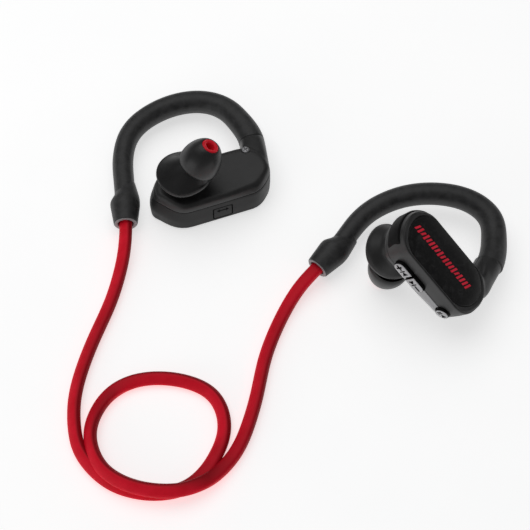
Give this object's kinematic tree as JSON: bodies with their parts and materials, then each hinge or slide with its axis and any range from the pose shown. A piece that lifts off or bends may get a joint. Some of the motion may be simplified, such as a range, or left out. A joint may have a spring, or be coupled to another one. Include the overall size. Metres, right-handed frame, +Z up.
{
  "type": "neckband earphones",
  "caption": "Sport earphones: two mirrored in-ear units with bendable rubber ear hooks, joined by one red cord laid in a loop, with side keys and a charging cover.",
  "frame": {"origin": "centre of the box round the two ear units, without the cord, on the table that they lie on", "axes": "+Z up from the table; +X from the left unit towards the right unit; the cord lies towards -Y"},
  "size_m": [0.1293, 0.1365, 0.0345],
  "materials": {
    "housing_plastic": "dark charcoal, satin",
    "pod_plastic": "near black, smooth satin",
    "plate_gloss": "near black, faintly mottled",
    "hook_rubber": "soft matte charcoal rubber",
    "tip_silicone": "smooth satin black silicone",
    "red_silicone": "bright red silicone",
    "cord_red": "smooth red cord jacket",
    "key_plastic": "dark grey satin keys",
    "steel": "plain steel",
    "circuit_board": "green solder mask",
    "black_resin": "moulded black resin",
    "battery_foil": "foil pouch",
    "driver_film": "thin clear-amber film"
  },
  "bodies": {
    "units": {"left_outer_shell": "housing_plastic", "left_inner_shell": "housing_plastic", "left_outer_plate": "plate_gloss", "left_housing_seal": "tip_silicone", "left_housing_screw": "steel", "left_hook_arm": "housing_plastic", "left_hook_sleeve": "hook_rubber", "left_hook_wire": "steel", "left_cord_gland": "hook_rubber", "left_driver_bowl": "pod_plastic", "left_driver_cap": "pod_plastic", "left_driver_magnet": "steel", "left_driver_frame": "black_resin", "left_driver_diaphragm": "driver_film", "left_nozzle": "pod_plastic", "left_nozzle_mesh": "steel", "left_charging_socket": "steel", "left_charging_pin": "steel", "left_battery": "battery_foil", "left_charging_board": "circuit_board", "right_outer_shell": "housing_plastic", "right_inner_shell": "housing_plastic", "right_outer_plate": "plate_gloss", "right_housing_seal": "tip_silicone", "right_housing_screw": "steel", "right_hook_arm": "housing_plastic", "right_hook_sleeve": "hook_rubber", "right_hook_wire": "steel", "right_cord_gland": "hook_rubber", "right_driver_bowl": "pod_plastic", "right_driver_cap": "pod_plastic", "right_driver_magnet": "steel", "right_driver_frame": "black_resin", "right_driver_diaphragm": "driver_film", "right_nozzle": "pod_plastic", "right_nozzle_mesh": "steel", "right_volume_up_switch": "steel", "right_volume_down_switch": "steel", "right_power_switch": "steel", "right_main_board": "circuit_board", "right_radio_shield": "steel", "right_antenna": "black_resin", "right_key_board": "circuit_board", "right_microphone": "steel", "headset_cord": "cord_red"},
    "volume_up": {"right_volume_up_button": "key_plastic"},
    "volume_down": {"right_volume_down_button": "key_plastic"},
    "power_key": {"right_power_button": "key_plastic"},
    "port_door": {"left_port_cover": "hook_rubber"},
    "left_tip": {"left_ear_tip_core": "red_silicone", "left_ear_tip_dome": "tip_silicone"},
    "right_tip": {"right_ear_tip_core": "red_silicone", "right_ear_tip_dome": "tip_silicone"}
  },
  "joints": [
    {"name": "volume_up_press", "type": "slide", "parent": "units", "child": "volume_up", "axis": [0.5436, 0.8371, -0.061], "range_m": [0, 0.00035], "stiffness_N_per_m": 1500, "springref_m": -0.0005},
    {"name": "volume_down_press", "type": "slide", "parent": "units", "child": "volume_down", "axis": [0.5436, 0.8371, -0.061], "range_m": [0, 0.00035], "stiffness_N_per_m": 1500, "springref_m": -0.0005},
    {"name": "power_press", "type": "slide", "parent": "units", "child": "power_key", "axis": [0.4006, 0.9135, 0.0709], "range_m": [0, 0.00035], "stiffness_N_per_m": 1500, "springref_m": -0.0005},
    {"name": "port_door_hinge", "type": "hinge", "parent": "units", "child": "port_door", "pos_m": [-0.02589, -0.00162, 0.0065], "axis": [-0.9426, -0.3338, 0], "range_deg": [0, 110]},
    {"name": "left_tip_pull", "type": "slide", "parent": "units", "child": "left_tip", "axis": [0.4512, 0.1598, 0.878], "range_m": [0, 0.008]},
    {"name": "right_tip_pull", "type": "slide", "parent": "units", "child": "right_tip", "axis": [-0.1841, 0.048, -0.9817], "range_m": [0, 0.008]}
  ]
}
